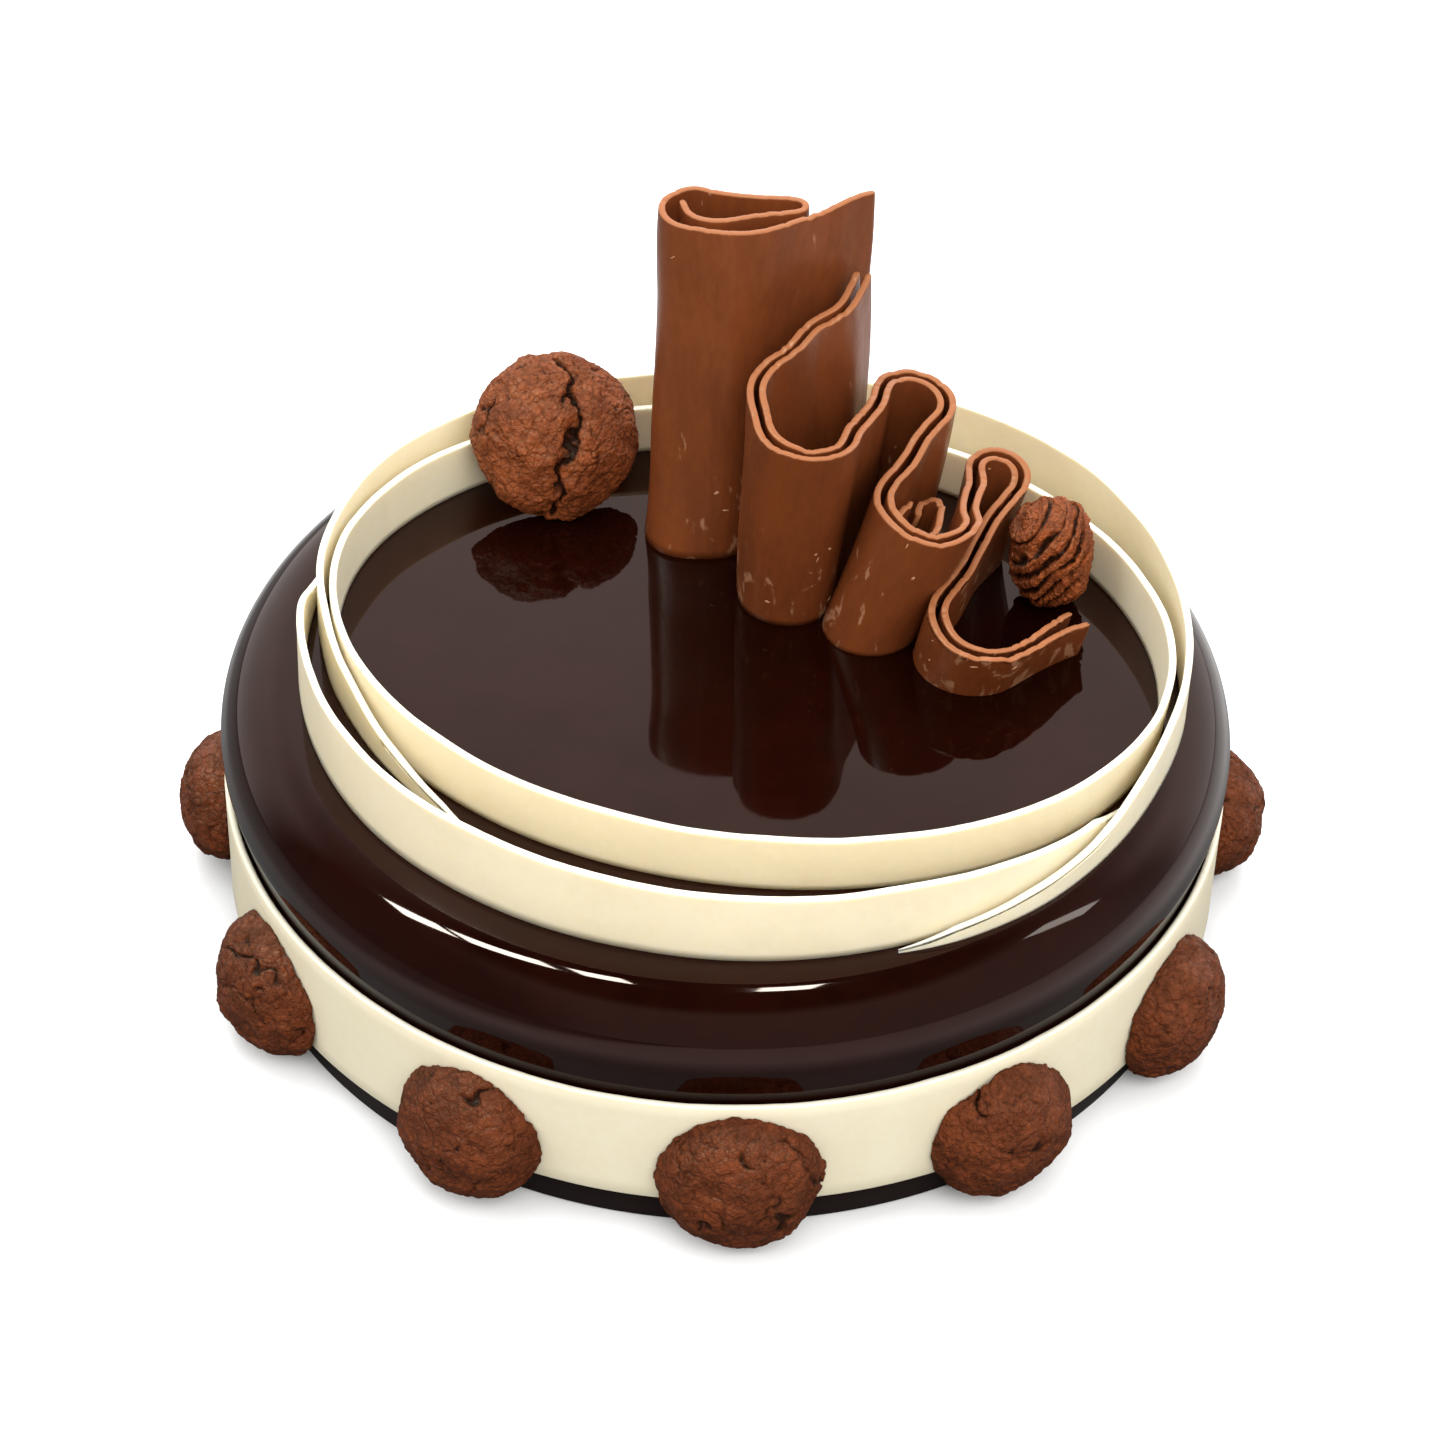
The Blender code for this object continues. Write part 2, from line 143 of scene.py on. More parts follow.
class CakeSizes(bpy.types.PropertyGroup):
    """Sizes of the details that are added to the solids."""

    sheet_thickness: FloatProperty(
        name="Sheet thickness",
        description="Thickness of the standing chocolate sheets",
        default=0.0014,
        unit="LENGTH",
    )
    rim_rounding: FloatProperty(
        name="Rim rounding",
        description="How far the rounding of a cut rim reaches down its sides",
        default=0.00035,
        unit="LENGTH",
    )
    glaze_waver: FloatProperty(
        name="Glaze waver",
        description="Height of the slow waves in the mirror glaze",
        default=0.000035,
        unit="LENGTH",
    )
    crack_depth: FloatProperty(
        name="Crack depth",
        description="Depth of the cracks in a biscuit's crust",
        default=0.0011,
        unit="LENGTH",
    )
    crust_grain: FloatProperty(
        name="Crust grain",
        description="Height of the fine crumb of a biscuit's crust",
        default=0.00022,
        unit="LENGTH",
    )
    flake_count: IntProperty(
        name="Flakes",
        description="Number of small chocolate flakes that cling to the ruffle",
        default=46,
        min=0,
    )


def colour_property(name, description, default):
    limits = {"size": 3, "min": 0.0, "max": 1.0}
    return FloatVectorProperty(name=name, description=description, default=default, subtype="COLOR", **limits)


class CakeColours(bpy.types.PropertyGroup):
    """Base colours of the finishes."""

    glaze: colour_property("Glaze", "Mirror glaze", (0.0085, 0.0013, 0.0006))
    glaze_deep: colour_property("Glaze, deep", "Darker clouds in the glaze", (0.0055, 0.0009, 0.0004))
    ivory: colour_property("Ivory", "White chocolate", (0.84, 0.765, 0.575))
    ivory_shade: colour_property("Ivory, shaded", "Duller patches of the white chocolate", (0.81, 0.73, 0.53))
    # Paler rims: partly the cut edge's own colour, partly a painted highlight along the rim.
    ivory_rim_and_highlight: colour_property("Ivory rim", "Cut rims of the white chocolate", (0.88, 0.82, 0.66))
    milk: colour_property("Milk chocolate", "Ruffle sheets", (0.156, 0.0385, 0.0108))
    milk_shade: colour_property("Milk chocolate, shaded", "Darker streaks", (0.122, 0.030, 0.0085))
    # Paler rims: partly the cut edge's own colour, partly a painted highlight along the rim.
    milk_rim_and_highlight: colour_property("Milk rim", "Cut rims of the sheets", (0.34, 0.125, 0.050))
    milk_scuff: colour_property("Milk scuff", "Pale scuffs and flakes", (0.40, 0.200, 0.110))
    biscuit: colour_property("Biscuit", "Cocoa biscuit crust", (0.148, 0.0325, 0.0088))
    biscuit_shade: colour_property("Biscuit, shaded", "Darker crust", (0.088, 0.0190, 0.0055))
    # Painted light: the top biscuit's crust is the side biscuits' crust, painted lighter for the light it
    # gets on top of the cake.
    painted_light_biscuit: colour_property("Top biscuit", "Crust of the biscuit on top", (0.235, 0.058, 0.0160))
    # Painted shade: near black laid into cracks, creases, pits and groove bottoms, where shade falls.
    painted_crack_shade: colour_property("Biscuit crack", "Inside of the cracks", (0.014, 0.003, 0.0012))
    golden: colour_property("Golden biscuit", "Ridged biscuit crust", (0.300, 0.072, 0.0185))
    floor: colour_property("Floor", "Studio floor", (0.90, 0.90, 0.90))


def brightness(name, description, default):
    return FloatProperty(name=name, description=description, default=default, min=0.0)


def power(name, description, default):
    return FloatProperty(name=name, description=description, default=default, min=0.0, unit="POWER")


class CakeStudio(bpy.types.PropertyGroup):
    """Light of the studio."""

    sky: brightness("Sky", "Brightness of the surroundings", 0.85)
    panel: brightness("Back panel", "Brightness of the panel that the glaze mirrors", 1.2)
    back: brightness("Back, mirrored", "Brightness that the glaze mirrors from behind", 0.40)
    front: brightness("Front, mirrored", "Brightness that the glaze mirrors from the front", 0.60)
    overhead: brightness("Overhead, mirrored", "Brightness that the glaze mirrors from above", 0.05)
    strip_power: power("Strip lights", "Narrow lights overhead, for each metre of their width", 38.0)
    front_power: power("Front light", "Soft light from the front", 13.5)
    back_power: power("Back light", "Soft light from behind", 15.0)
    side_power: power("Side lights", "Soft light from either side", 6.0)
    top_power: power("Top light", "Broad soft light overhead", 10.0)


# Node trees.


def put(tree, kind, inputs=None, **settings):
    """Adds a shader node, with its settings and with each input set to a value or linked to a socket."""
    node = tree.nodes.new("ShaderNode" + kind)
    for name, value in settings.items():
        setattr(node, name, value)
    for name, value in (inputs or {}).items():
        if isinstance(value, bpy.types.NodeSocket):
            tree.links.new(value, node.inputs[name])
        else:
            node.inputs[name].default_value = value
    return node


def rgba(colour):
    return (*colour, 1.0)


def mix(tree, share, first, second):
    """Colour between two, by a share from 0 to 1."""
    ends = [end if isinstance(end, bpy.types.NodeSocket) else rgba(end) for end in (first, second)]
    return put(tree, "Mix", {0: share, 6: ends[0], 7: ends[1]}, data_type="RGBA").outputs[2]


def mix_values(tree, share, first, second):
    """Value between two, by a share from 0 to 1."""
    return put(tree, "Mix", {0: share, 2: first, 3: second}, data_type="FLOAT").outputs[0]


def ramp(tree, value, low, high, start=0.0, end=1.0):
    """Value carried smoothly from one range to another."""
    inputs = {"Value": value, "From Min": low, "From Max": high, "To Min": start, "To Max": end}
    return put(tree, "MapRange", inputs, interpolation_type="SMOOTHSTEP").outputs["Result"]


def maths(tree, operation, first, second=0.5):
    return put(tree, "Math", {0: first, 1: second}, operation=operation).outputs[0]


def noise_value(tree, where, scale, detail=3.0, roughness=0.55, distortion=0.0):
    inputs = {"Vector": where, "Scale": scale, "Detail": detail}
    inputs.update(Roughness=roughness, Distortion=distortion)
    return put(tree, "TexNoise", inputs).outputs["Fac"]


def new_group(name, inputs, outputs):
    """A shader node group with named sockets, and its input and output nodes."""
    tree = bpy.data.node_groups.new(name, "ShaderNodeTree")
    for label, kind, default in inputs:
        socket = tree.interface.new_socket(name=label, in_out="INPUT", socket_type="NodeSocket" + kind)
        if default is not None:
            socket.default_value = default
    for label, kind in outputs:
        tree.interface.new_socket(name=label, in_out="OUTPUT", socket_type="NodeSocket" + kind)
    return tree, tree.nodes.new("NodeGroupInput").outputs, tree.nodes.new("NodeGroupOutput").inputs


def use_group(tree, group, inputs):
    return put(tree, "Group", inputs, node_tree=group).outputs


def mottle_group():
    """Clouds of two colours at two sizes, as in poured or baked surfaces."""
    sockets = [("Vector", "Vector", None), ("Scale", "Float", 60.0)]
    sockets += [("Light", "Color", None), ("Dark", "Color", None)]
    tree, given, out = new_group("mottle", sockets, [("Colour", "Color"), ("Mask", "Float")])
    broad = noise_value(tree, given["Vector"], given["Scale"], 4.0)
    fine = noise_value(tree, given["Vector"], maths(tree, "MULTIPLY", given["Scale"], 6.3), 5.0, 0.65)
    both = maths(tree, "ADD", maths(tree, "MULTIPLY", broad, 0.62), maths(tree, "MULTIPLY", fine, 0.38))
    mask = ramp(tree, both, 0.38, 0.62)
    tree.links.new(mix(tree, mask, given["Dark"], given["Light"]), out["Colour"])
    tree.links.new(mask, out["Mask"])
    return tree


def grain_group():
    """Height of a fine grain: small noise with pores."""
    sockets = [("Vector", "Vector", None), ("Scale", "Float", 900.0), ("Pores", "Float", 0.3)]
    tree, given, out = new_group("fine_grain", sockets, [("Height", "Float")])
    rough = noise_value(tree, given["Vector"], given["Scale"], 4.0, 0.6)
    wider = maths(tree, "MULTIPLY", given["Scale"], 0.55)
    cells = put(tree, "TexVoronoi", {"Vector": given["Vector"], "Scale": wider})
    pores = maths(tree, "MULTIPLY", ramp(tree, cells.outputs["Distance"], 0.0, 0.28), given["Pores"])
    tree.links.new(maths(tree, "ADD", rough, pores), out["Height"])
    return tree


def cut_edge_group():
    """How much a point belongs to a cut edge, from its distance to that edge, with a broken border; the paler
    colour laid on it is partly a painted highlight.
    """
    sockets = [("Distance", "Float", 0.0), ("Width", "Float", 0.0004), ("Vector", "Vector", None)]
    tree, given, out = new_group("cut_edge", sockets, [("Mask", "Float")])
    waver = maths(tree, "MULTIPLY", noise_value(tree, given["Vector"], 900.0, 3.0), 0.9)
    reach = maths(tree, "MULTIPLY", given["Width"], maths(tree, "ADD", waver, 0.55))
    share = maths(tree, "DIVIDE", given["Distance"], reach)
    tree.links.new(ramp(tree, share, 0.7, 1.3, 1.0, 0.0), out["Mask"])
    return tree


def scuff_group():
    """Short pale rubs and specks, more of them where Amount is higher."""
    sockets = [("Vector", "Vector", None), ("Scale", "Float", 220.0), ("Amount", "Float", 0.3)]
    tree, given, out = new_group("scuffs", sockets, [("Mask", "Float")])
    stretched = put(tree, "Mapping", {"Vector": given["Vector"], "Scale": (1.0, 1.0, 0.45)}).outputs["Vector"]
    marks = noise_value(tree, stretched, given["Scale"], 3.0, 0.6, 0.6)
    patches = noise_value(tree, given["Vector"], maths(tree, "MULTIPLY", given["Scale"], 0.2), 2.0)
    level = maths(tree, "ADD", marks, maths(tree, "MULTIPLY", patches, 0.35))
    bar = maths(tree, "SUBTRACT", 1.02, maths(tree, "MULTIPLY", given["Amount"], 0.22))
    tree.links.new(ramp(tree, maths(tree, "SUBTRACT", level, bar), -0.02, 0.05), out["Mask"])
    return tree


def crease_group():
    """Thin winding creases between plates of crust: 1 in a crease, 0 on a plate."""
    sockets = [("Vector", "Vector", None), ("Scale", "Float", 330.0), ("Width", "Float", 0.10)]
    tree, given, out = new_group("creases", sockets, [("Mask", "Float")])
    inputs = {"Vector": given["Vector"], "Scale": given["Scale"], "Detail": 2.0}
    bend = put(tree, "TexNoise", inputs).outputs["Color"]
    centred = put(tree, "VectorMath", {0: bend, 1: (0.5, 0.5, 0.5)}, operation="SUBTRACT").outputs[0]
    reach = maths(tree, "DIVIDE", 0.9, given["Scale"])
    strayed = put(tree, "VectorMath", {0: centred, "Scale": reach}, operation="SCALE").outputs[0]
    moved = put(tree, "VectorMath", {0: given["Vector"], 1: strayed}, operation="ADD").outputs[0]
    cells = put(tree, "TexVoronoi", {"Vector": moved, "Scale": given["Scale"]}, feature="DISTANCE_TO_EDGE")
    share = maths(tree, "DIVIDE", cells.outputs["Distance"], given["Width"])
    tree.links.new(ramp(tree, share, 0.0, 1.0, 1.0, 0.0), out["Mask"])
    return tree


GROUPS = {}


def group(name):
    makers = {
        "mottle": mottle_group,
        "grain": grain_group,
        "cut_edge": cut_edge_group,
        "scuffs": scuff_group,
        "creases": crease_group,
    }
    if name not in GROUPS:
        GROUPS[name] = makers[name]()
    return GROUPS[name]


def new_material(name):
    """A material, its tree, its main shader and the object coordinates."""
    material = bpy.data.materials.new(name)
    material.use_nodes = True
    tree = material.node_tree
    shader = tree.nodes["Principled BSDF"]
    where = put(tree, "TexCoord").outputs["Object"]
    return material, tree, shader, where


def feed(tree, shader, **inputs):
    for name, socket in inputs.items():
        tree.links.new(socket, shader.inputs[name.replace("_", " ")])


def bump(tree, height, strength, distance):
    return put(tree, "Bump", {"Height": height, "Strength": strength, "Distance": distance}).outputs["Normal"]


def glaze_material():
    colours = bpy.context.scene.cake_colours
    material, tree, shader, where = new_material("mirror_glaze")
    inputs = {"Vector": where, "Scale": 28.0, "Light": rgba(colours.glaze), "Dark": rgba(colours.glaze_deep)}
    clouds = use_group(tree, group("mottle"), inputs)
    waves = noise_value(tree, where, 42.0, 1.0, 0.4)
    shader.inputs["Specular Tint"].default_value = (1.0, 0.62, 0.54, 1.0)
    shader.inputs["Specular IOR Level"].default_value = 0.31
    shader.inputs["IOR"].default_value = 1.5
    feed(
        tree,
        shader,
        Base_Color=clouds["Colour"],
        Roughness=ramp(tree, clouds["Mask"], 0.0, 1.0, 0.030, 0.050),
        Normal=bump(tree, waves, 0.18, 0.0006),
    )
    return material


def ivory_material(name, through, mirrored):
    """White chocolate: how far light passes through it, and how bright the glaze mirrors it."""
    colours = bpy.context.scene.cake_colours
    material, tree, shader, where = new_material(name)
    inputs = {"Vector": where, "Scale": 75.0, "Light": rgba(colours.ivory), "Dark": rgba(colours.ivory_shade)}
    clouds = use_group(tree, group("mottle"), inputs)
    edge = put(tree, "Attribute", attribute_name="edge").outputs["Fac"]
    cut = use_group(tree, group("cut_edge"), {"Distance": edge, "Width": 0.00030, "Vector": where})["Mask"]
    grain = use_group(tree, group("grain"), {"Vector": where, "Scale": 1500.0, "Pores": 0.2})["Height"]
    shader.inputs["Subsurface Radius"].default_value = (1.0, 0.95, 0.75)
    shader.inputs["Subsurface Scale"].default_value = 0.0015
    shader.inputs["Subsurface Weight"].default_value = through
    # Rims painted paler: partly the cut edge, partly a painted highlight.
    body = mix(tree, cut, clouds["Colour"], colours.ivory_rim_and_highlight)
    dimmed = maths(tree, "MULTIPLY", put(tree, "LightPath").outputs["Is Glossy Ray"], 1.0 - mirrored)
    feed(
        tree,
        shader,
        Base_Color=mix(tree, dimmed, body, (0.0, 0.0, 0.0)),
        Roughness=ramp(tree, clouds["Mask"], 0.0, 1.0, 0.46, 0.36),
        Normal=bump(tree, grain, 0.22, 0.00010),
    )
    return material


def milk_material(name="milk_chocolate_sheet", pale=0.0):
    colours = bpy.context.scene.cake_colours
    material, tree, shader, where = new_material(name)
    sheet = put(tree, "UVMap", uv_map="sheet").outputs["UV"] if pale == 0.0 else where
    streaked = put(tree, "Mapping", {"Vector": sheet, "Scale": (1.0, 0.35, 1.0)}).outputs["Vector"]
    inputs = {"Vector": streaked, "Scale": 110.0}
    inputs.update(Light=rgba(colours.milk), Dark=rgba(colours.milk_shade))
    clouds = use_group(tree, group("mottle"), inputs)
    low = put(tree, "SeparateXYZ", {0: where}).outputs["Z"]
    amount = ramp(tree, low, GLAZE_TOP + 0.045, GLAZE_TOP, 0.50, 1.15)
    scuffed = use_group(tree, group("scuffs"), {"Vector": where, "Scale": 260.0, "Amount": amount})["Mask"]
    edge = put(tree, "Attribute", attribute_name="edge").outputs["Fac"]
    cut = use_group(tree, group("cut_edge"), {"Distance": edge, "Width": 0.00022, "Vector": where})["Mask"]
    grain = use_group(tree, group("grain"), {"Vector": where, "Scale": 1100.0, "Pores": 0.3})["Height"]
    shader.inputs["Specular IOR Level"].default_value = 0.30
    shader.inputs["Specular Tint"].default_value = (1.0, 0.72, 0.52, 1.0)
    body = mix(tree, maths(tree, "MULTIPLY", scuffed, 0.55), clouds["Colour"], colours.milk_scuff)
    # Rims painted paler: partly the cut edge, partly a painted highlight.
    body = mix(tree, maths(tree, "MULTIPLY", cut, 0.75), body, colours.milk_rim_and_highlight)
    if pale:
        body = mix(tree, pale, body, colours.milk_scuff)
    feed(
        tree,
        shader,
        Base_Color=body,
        Roughness=ramp(tree, clouds["Mask"], 0.0, 1.0, 0.44, 0.33),
        Normal=bump(tree, grain, 0.30, 0.00014),
    )
    return material


def biscuit_material(name, light, dark):
    colours = bpy.context.scene.cake_colours
    material, tree, shader, where = new_material(name)
    inputs = {"Vector": where, "Scale": 170.0, "Light": rgba(light), "Dark": rgba(dark)}
    crust = use_group(tree, group("mottle"), inputs)
    painted_recess_shade = put(tree, "Attribute", attribute_name="painted_recess_shade").outputs["Fac"]
    grain = use_group(tree, group("grain"), {"Vector": where, "Scale": 1700.0, "Pores": 0.8})["Height"]
    broad = use_group(tree, group("creases"), {"Vector": where, "Scale": 300.0, "Width": 0.16})["Mask"]
    fine = use_group(tree, group("creases"), {"Vector": where, "Scale": 720.0, "Width": 0.20})["Mask"]
    creased = maths(tree, "ADD", maths(tree, "MULTIPLY", broad, 0.6), maths(tree, "MULTIPLY", fine, 0.4))
    height = maths(tree, "SUBTRACT", maths(tree, "MULTIPLY", grain, 0.35), creased)
    shader.inputs["Specular IOR Level"].default_value = 0.34
    shader.inputs["Specular Tint"].default_value = (1.0, 0.72, 0.52, 1.0)
    # Painted shade: creases and the recess mask are darkened towards the near-black crack colour.
    body = mix(tree, maths(tree, "MULTIPLY", creased, 0.42), crust["Colour"], colours.painted_crack_shade)
    feed(
        tree,
        shader,
        Base_Color=mix(tree, ramp(tree, painted_recess_shade, 0.12, 0.85), body, colours.painted_crack_shade),
        Roughness=ramp(tree, crust["Mask"], 0.0, 1.0, 0.72, 0.44),
        Normal=bump(tree, height, 0.80, 0.00036),
    )
    return material


def floor_material():
    colours = bpy.context.scene.cake_colours
    material, tree, shader, where = new_material("studio_floor")
    plain = tuple(0.985 * part for part in colours.floor)
    inputs = {"Vector": where, "Scale": 9.0, "Light": rgba(colours.floor), "Dark": rgba(plain)}
    paper = use_group(tree, group("mottle"), inputs)
    away = put(tree, "VectorMath", {0: where}, operation="LENGTH").outputs["Value"]
    ray = put(tree, "LightPath").outputs
    left = put(tree, "SeparateXYZ", {0: where}).outputs["X"]
    # Seen in the glaze the floor is painted darker near the cake and on the left: a painted shadow in its
    # reflection. Other surfaces get a fifth of its bounce light.
    near_dark = ramp(tree, away, 0.115, 0.19, 0.10, 0.62)
    mirrored = maths(tree, "MULTIPLY", near_dark, ramp(tree, left, -0.20, -0.07, 0.25, 1.0))
    bounced = mix_values(tree, ray["Is Glossy Ray"], 0.20, mirrored)
    share = maths(tree, "MAXIMUM", ray["Is Camera Ray"], bounced)
    colour = mix(tree, share, (0.0, 0.0, 0.0), paper["Colour"])
    feed(tree, shader, Base_Color=colour, Roughness=ramp(tree, paper["Mask"], 0.0, 1.0, 0.75, 0.7))
    return material


# Modelling.


def start_fresh():
    """Leaves edit mode and deselects everything, so an operator acts on its own piece alone."""
    if bpy.context.object and bpy.context.object.mode != "OBJECT":
        bpy.ops.object.mode_set(mode="OBJECT")
    bpy.ops.object.select_all(action="DESELECT")


def finish_piece(piece, name, material, slot, *nodes):
    """Names a piece, gives it its finish and ties it to the frame."""
    piece.name = name
    piece.data.name = name
    piece.data.materials.clear()
    piece.data.materials.append(material)
    piece.data.shade_smooth()
    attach(piece, "root")
    if nodes:
        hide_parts(*nodes)
    return piece


def turned_piece(profile, segments):
    """Extrudes a circle ring by ring along a profile of (radius, height) from the foot up."""
    start_fresh()
    radius, height = profile[0]
    bpy.ops.mesh.primitive_circle_add(vertices=segments, radius=radius, fill_type="NOTHING")
    bpy.ops.object.mode_set(mode="EDIT")
    bpy.ops.mesh.select_all(action="SELECT")
    bpy.ops.transform.translate(value=(0.0, 0.0, height))
    for wide, high in profile[1:]:
        bpy.ops.mesh.extrude_region_move(TRANSFORM_OT_translate={"value": (0.0, 0.0, high - height)})
        share = wide / radius
        bpy.ops.transform.resize(value=(share, share, 1.0), center_override=(0.0, 0.0, high))
        radius, height = wide, high
    return bpy.context.object


def glazed_body():
    """The body: a foot, a side that leans outwards, a rounded shoulder and a top that is not quite level."""
    sizes = bpy.context.scene.cake_sizes
    profile = [(0.0010, 0.0), (0.06, 0.0), (FOOT_RADIUS - 0.0006, 0.0)]
    profile += [(FOOT_RADIUS, 0.0005), (FOOT_RADIUS, FOOT_TOP)]
    profile += [(WALL_FOOT_RADIUS, BAND_LOW[2] - 0.3 * MM), (WALL_FOOT_RADIUS, BAND_TOP)]
    wall_top = GLAZE_TOP - SHOULDER_RADIUS * (1.0 + math.sin(WALL_LEAN))
    for i in range(1, WALL_STEPS + 1):
        rise = (wall_top - BAND_TOP) * i / WALL_STEPS
        profile.append((WALL_FOOT_RADIUS + rise * math.tan(WALL_LEAN), BAND_TOP + rise))
    centre = (profile.pop()[0] - SHOULDER_RADIUS * math.cos(WALL_LEAN), GLAZE_TOP - SHOULDER_RADIUS)
    for i in range(SHOULDER_STEPS + 1):
        angle = (math.pi / 2 + WALL_LEAN) * i / SHOULDER_STEPS - WALL_LEAN
        across, up = SHOULDER_RADIUS * math.cos(angle), SHOULDER_RADIUS * math.sin(angle)
        profile.append((centre[0] + across, centre[1] + up))
    profile += [(centre[0] * (1.0 - i / TOP_RINGS), GLAZE_TOP) for i in range(1, TOP_RINGS)]
    body = turned_piece(profile, BODY_SEGMENTS)
    bpy.ops.mesh.merge(type="CENTER")
    bpy.ops.mesh.select_all(action="SELECT")
    bpy.ops.mesh.remove_doubles(threshold=0.0000005)
    bpy.ops.object.mode_set(mode="OBJECT")
    mesh = bmesh.new()
    mesh.from_mesh(body.data)
    open_ring = [edge for edge in mesh.edges if edge.is_boundary]
    bmesh.ops.holes_fill(mesh, edges=open_ring)
    for vert in mesh.verts:
        high = min(1.0, max(0.0, (vert.co.z - 0.038) / 0.01))
        wave = noise.noise(vert.co * 30.0) + 0.4 * noise.noise(vert.co * 75.0)
        on_top = vert.co.z >= GLAZE_TOP - 0.1 * MM
        out = Vector((0.0, 0.0, 1.0)) if on_top else Vector((vert.co.x, vert.co.y, 0.0)).normalized()
        vert.co += out * wave * sizes.glaze_waver * high
    bmesh.ops.recalc_face_normals(mesh, faces=mesh.faces)
    mesh.to_mesh(body.data)
    mesh.free()
    return finish_piece(body, "glazed_body", glaze_material(), "dark_glaze", "glazed_cake")


def ivory_band():
    """The band round the lower side, with rounded edges and a top that wavers a little."""
    outer, bottom, top, corner = BAND_HIGH[0], BAND_LOW[2], BAND_TOP, BAND_CORNER
    inner = outer - bpy.context.scene.cake_sizes.sheet_thickness
    step = (top - bottom - 2 * corner) / BAND_ROWS
    profile = [(inner, top - corner), (inner, bottom + corner), (inner + corner, bottom)]
    profile += [(outer - corner, bottom), (outer - 0.3 * corner, bottom + 0.3 * corner)]
    profile += [(outer, bottom + corner + step * i) for i in range(BAND_ROWS + 1)]
    profile += [(outer - 0.3 * corner, top - 0.3 * corner), (outer - corner, top), (inner + corner, top)]
    band = turned_piece(profile, BODY_SEGMENTS)
    bpy.ops.mesh.select_all(action="DESELECT")
    bpy.ops.mesh.select_non_manifold()
    bpy.ops.mesh.bridge_edge_loops()
    bpy.ops.object.mode_set(mode="OBJECT")
    mesh = bmesh.new()
    mesh.from_mesh(band.data)
    layer = mesh.verts.layers.float.new("edge")
    for vert in mesh.verts:
        out = Vector((vert.co.x, vert.co.y, 0.0)).normalized()
        vert[layer] = min(top - vert.co.z, vert.co.z - bottom) + 0.00002
        outside = Vector((vert.co.x, vert.co.y)).length > (inner + outer) / 2
        wave = noise.noise(out * 9.0) + 0.5 * noise.noise(out * 31.0)
        share = (vert.co.z - bottom) / (top - bottom)
        vert.co.z += wave * 0.00016 * share
        if outside:
            vert.co += out * 0.00008 * noise.noise(vert.co * 55.0)
    bmesh.ops.recalc_face_normals(mesh, faces=mesh.faces)
    mesh.to_mesh(band.data)
    mesh.free()
    material = ivory_material("ivory_band", 0.15, 0.35)
    return finish_piece(band, "ivory_band", material, "white_chocolate", "side_band")


def level_loops(bm, up):
    """Corner points in order round a standing sheet's rim (up 1) or foot (up -1), one array for each loop."""
    beside = {}
    for edge in bm.edges:
        if sorted(face.normal.z * up > 0.5 for face in edge.link_faces) == [False, True]:
            first, second = edge.verts
            beside.setdefault(first, []).append(second)
            beside.setdefault(second, []).append(first)
    loops, left = [], set(beside)
    while left:
        here = min(left, key=lambda vert: vert.index)
        loop = []
        while here:
            loop.append(here.co[:])
            left.discard(here)
            here = next((vert for vert in beside[here] if vert in left), None)
        loops.append(np.array(loop))
    return loops


def midline(loops):
    """The line midway between the two sides of a sheet, from the loops round its rim or foot."""
    if len(loops) == 2:
        first, second = loops
        turns = [np.cross(loop[0, :2], loop[1, :2]) for loop in loops]
        if turns[0] * turns[1] < 0:
            second = second[::-1]
        nearest = np.argmin(np.linalg.norm(second - first[0], axis=1))
        return (first + np.roll(second, -nearest, axis=0)) / 2
    loop = loops[0]
    half = len(loop) // 2

    def sides(start):
        turned = np.roll(loop, -start, axis=0)
        return turned[:half], turned[half:][::-1]

    def apart(start):
        first, second = sides(start)
        return np.linalg.norm(first - second, axis=1).sum()

    first, second = sides(min(range(half), key=apart))
    return (first + second) / 2


def sheet_lines(node):
    """The midlines of a standing sheet's rim and foot, read from its solid, and whether it is closed."""
    bm = bmesh.new()
    bm.from_mesh(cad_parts[node].data)
    bmesh.ops.remove_doubles(bm, verts=bm.verts, dist=0.000002)
    bm.verts.index_update()
    rims, feet = level_loops(bm, 1), level_loops(bm, -1)
    bm.free()
    closed = len(rims) == 2
    rim, foot = midline(rims), midline(feet)
    if closed:
        if np.cross(rim[0, :2], rim[1, :2]) * np.cross(foot[0, :2], foot[1, :2]) < 0:
            foot = foot[::-1]
        foot = np.roll(foot, -np.argmin(np.linalg.norm(foot[:, :2] - rim[0, :2], axis=1)), axis=0)
    elif np.linalg.norm(rim[0] - foot[0]) > np.linalg.norm(rim[0] - foot[-1]):
        foot = foot[::-1]
    return rim, foot, closed


def finer(line, parts, closed):
    """Points of a smooth curve through a line's points, with so many steps for each of its own."""
    if closed:
        around = np.vstack([line[-1:], line, line[:2]])
    else:
        around = np.vstack([2 * line[0] - line[1], line, 2 * line[-1] - line[-2]])
    a, b, c, d = around[:-3], around[1:-2], around[2:-1], around[3:]
    pieces = []
    for k in range(parts):
        t = k / parts
        curve = 2 * b + (c - a) * t + (2 * a - 5 * b + 4 * c - d) * t**2 + (3 * b - a - 3 * c + d) * t**3
        pieces.append(curve / 2)
    points = np.stack(pieces, axis=1).reshape(-1, 3)
    return np.vstack([points, c[-1:]])


